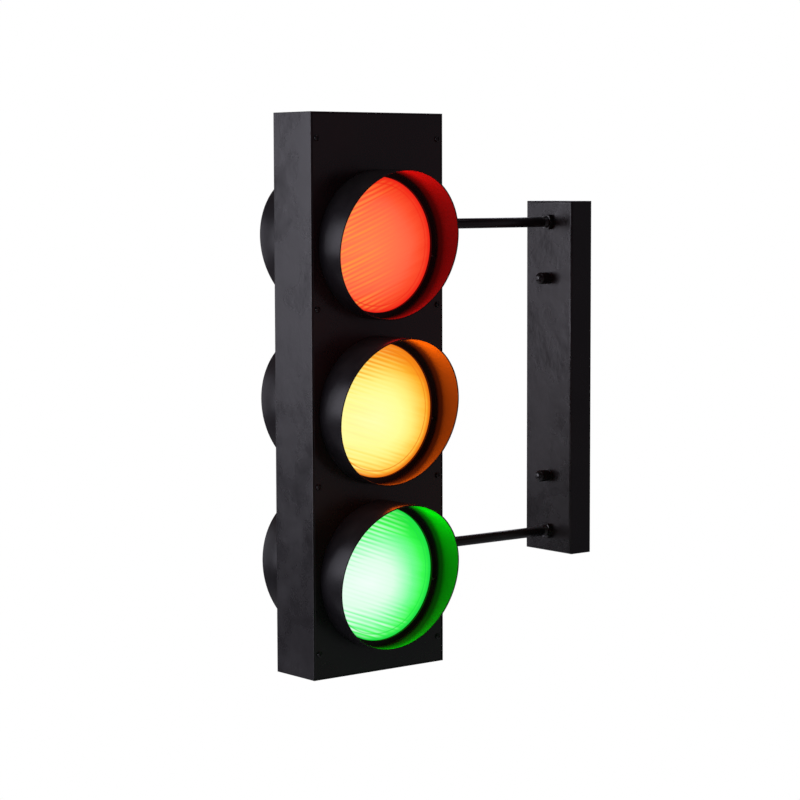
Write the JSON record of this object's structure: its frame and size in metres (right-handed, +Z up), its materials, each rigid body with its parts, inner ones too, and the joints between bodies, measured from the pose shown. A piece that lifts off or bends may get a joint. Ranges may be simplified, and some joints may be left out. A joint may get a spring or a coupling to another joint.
{
  "type": "traffic signal head",
  "caption": "Double-sided traffic light wall lamp: slim steel box, hooded red, amber and green lenses front and rear, two tube arms and a wall canopy.",
  "frame": {"origin": "middle of the wall bracket's back face, on the wall plane", "axes": "+X into the wall, so the lamp stands out towards -X; -Y is the front, where the panel comes off; +Z up along the head"},
  "size_m": [0.3293, 0.1416, 0.5],
  "materials": {
    "black_paint": "satin black powder coat on sheet steel",
    "black_screw": "black plated steel, slightly glossy",
    "zinc_steel": "bright zinc plate, faintly brushed",
    "red_glass": "pressed ribbed glass, red, lit from inside",
    "amber_glass": "pressed ribbed glass, amber, lit from inside",
    "green_glass": "pressed ribbed glass, green, lit from inside",
    "phenolic": "moulded black phenolic",
    "nickel_cap": "nickel plated brass",
    "opal_glass": "opal glass, smooth",
    "block_nylon": "moulded natural nylon",
    "cable_sheath": "black flexible cable sheath",
    "earth_sheath": "green and yellow wire sheath"
  },
  "bodies": {
    "lamp": {"housing_shell": "black_paint", "hood_rear_red": "black_paint", "lens_rear_red": "red_glass", "lens_ring_rear_red": "zinc_steel", "hood_rear_amber": "black_paint", "lens_rear_amber": "amber_glass", "lens_ring_rear_amber": "zinc_steel", "hood_rear_green": "black_paint", "lens_rear_green": "green_glass", "lens_ring_rear_green": "zinc_steel", "lampholder_red": "phenolic", "lampholder_amber": "phenolic", "lampholder_green": "phenolic", "holder_rail": "zinc_steel", "holder_wiring": "cable_sheath", "arm_tube_upper": "black_paint", "arm_nut_upper_head_inner": "black_screw", "arm_nut_upper_head_outer": "black_screw", "arm_nut_upper_canopy_outer": "black_screw", "arm_nut_upper_canopy_inner": "black_screw", "arm_tube_lower": "black_paint", "arm_nut_lower_head_inner": "black_screw", "arm_nut_lower_head_outer": "black_screw", "arm_nut_lower_canopy_outer": "black_screw", "arm_nut_lower_canopy_inner": "black_screw", "wall_canopy": "black_paint", "wall_bracket": "zinc_steel", "bracket_stud_upper": "zinc_steel", "bracket_stud_lower": "zinc_steel", "terminal_block": "block_nylon", "feed_cable": "cable_sheath", "earth_lead": "earth_sheath"},
    "front_panel_set": {"front_panel": "black_paint", "panel_screw_1": "black_screw", "panel_screw_2": "black_screw", "panel_screw_3": "black_screw", "panel_screw_4": "black_screw", "panel_screw_5": "black_screw", "panel_screw_6": "black_screw", "panel_screw_7": "black_screw", "panel_screw_8": "black_screw", "hood_front_red": "black_paint", "lens_front_red": "red_glass", "lens_ring_front_red": "zinc_steel", "hood_front_amber": "black_paint", "lens_front_amber": "amber_glass", "lens_ring_front_amber": "zinc_steel", "hood_front_green": "black_paint", "lens_front_green": "green_glass", "lens_ring_front_green": "zinc_steel"},
    "bulb_cap_red": {"bulb_cap_red": "nickel_cap"},
    "bulb_globe_red": {"bulb_globe_red": "opal_glass"},
    "bulb_cap_amber": {"bulb_cap_amber": "nickel_cap"},
    "bulb_globe_amber": {"bulb_globe_amber": "opal_glass"},
    "bulb_cap_green": {"bulb_cap_green": "nickel_cap"},
    "bulb_globe_green": {"bulb_globe_green": "opal_glass"},
    "washer_upper": {"nut_washer_upper": "black_screw"},
    "cap_nut_upper": {"cap_nut_upper": "black_screw"},
    "washer_lower": {"nut_washer_lower": "black_screw"},
    "cap_nut_lower": {"cap_nut_lower": "black_screw"}
  },
  "joints": [
    {"name": "front_panel_off", "type": "slide", "parent": "lamp", "child": "front_panel_set", "axis": [0, -1, 0], "range_m": [0, 0.11]},
    {"name": "bulb_draw_red", "type": "slide", "parent": "lamp", "child": "bulb_cap_red", "axis": [1, 0, 0], "range_m": [0, 0.0182]},
    {"name": "bulb_screw_red", "type": "hinge", "parent": "bulb_cap_red", "child": "bulb_globe_red", "pos_m": [-0.25505, 0, 0.1315], "axis": [1, 0, 0], "range_deg": [0, 1800]},
    {"name": "bulb_draw_amber", "type": "slide", "parent": "lamp", "child": "bulb_cap_amber", "axis": [1, 0, 0], "range_m": [0, 0.0182]},
    {"name": "bulb_screw_amber", "type": "hinge", "parent": "bulb_cap_amber", "child": "bulb_globe_amber", "pos_m": [-0.25505, 0, -0.0161], "axis": [1, 0, 0], "range_deg": [0, 1800]},
    {"name": "bulb_draw_green", "type": "slide", "parent": "lamp", "child": "bulb_cap_green", "axis": [1, 0, 0], "range_m": [0, 0.0182]},
    {"name": "bulb_screw_green", "type": "hinge", "parent": "bulb_cap_green", "child": "bulb_globe_green", "pos_m": [-0.25505, 0, -0.1637], "axis": [1, 0, 0], "range_deg": [0, 1800]},
    {"name": "cap_nut_draw_upper", "type": "slide", "parent": "lamp", "child": "washer_upper", "axis": [-1, 0, 0], "range_m": [0, 0.00805]},
    {"name": "cap_nut_screw_upper", "type": "hinge", "parent": "washer_upper", "child": "cap_nut_upper", "pos_m": [-0.033, 0, 0.095], "axis": [-1, 0, 0], "range_deg": [0, 3600]},
    {"name": "cap_nut_draw_lower", "type": "slide", "parent": "lamp", "child": "washer_lower", "axis": [-1, 0, 0], "range_m": [0, 0.00805]},
    {"name": "cap_nut_screw_lower", "type": "hinge", "parent": "washer_lower", "child": "cap_nut_lower", "pos_m": [-0.033, 0, -0.095], "axis": [-1, 0, 0], "range_deg": [0, 3600]}
  ],
  "couplings": [
    {"joint": "bulb_draw_red", "follows": "bulb_screw_red", "m_per_rad": 0.00057757},
    {"joint": "bulb_draw_amber", "follows": "bulb_screw_amber", "m_per_rad": 0.00057757},
    {"joint": "bulb_draw_green", "follows": "bulb_screw_green", "m_per_rad": 0.00057757},
    {"joint": "cap_nut_draw_upper", "follows": "cap_nut_screw_upper", "m_per_rad": 0.00012732},
    {"joint": "cap_nut_draw_lower", "follows": "cap_nut_screw_lower", "m_per_rad": 0.00012732}
  ]
}
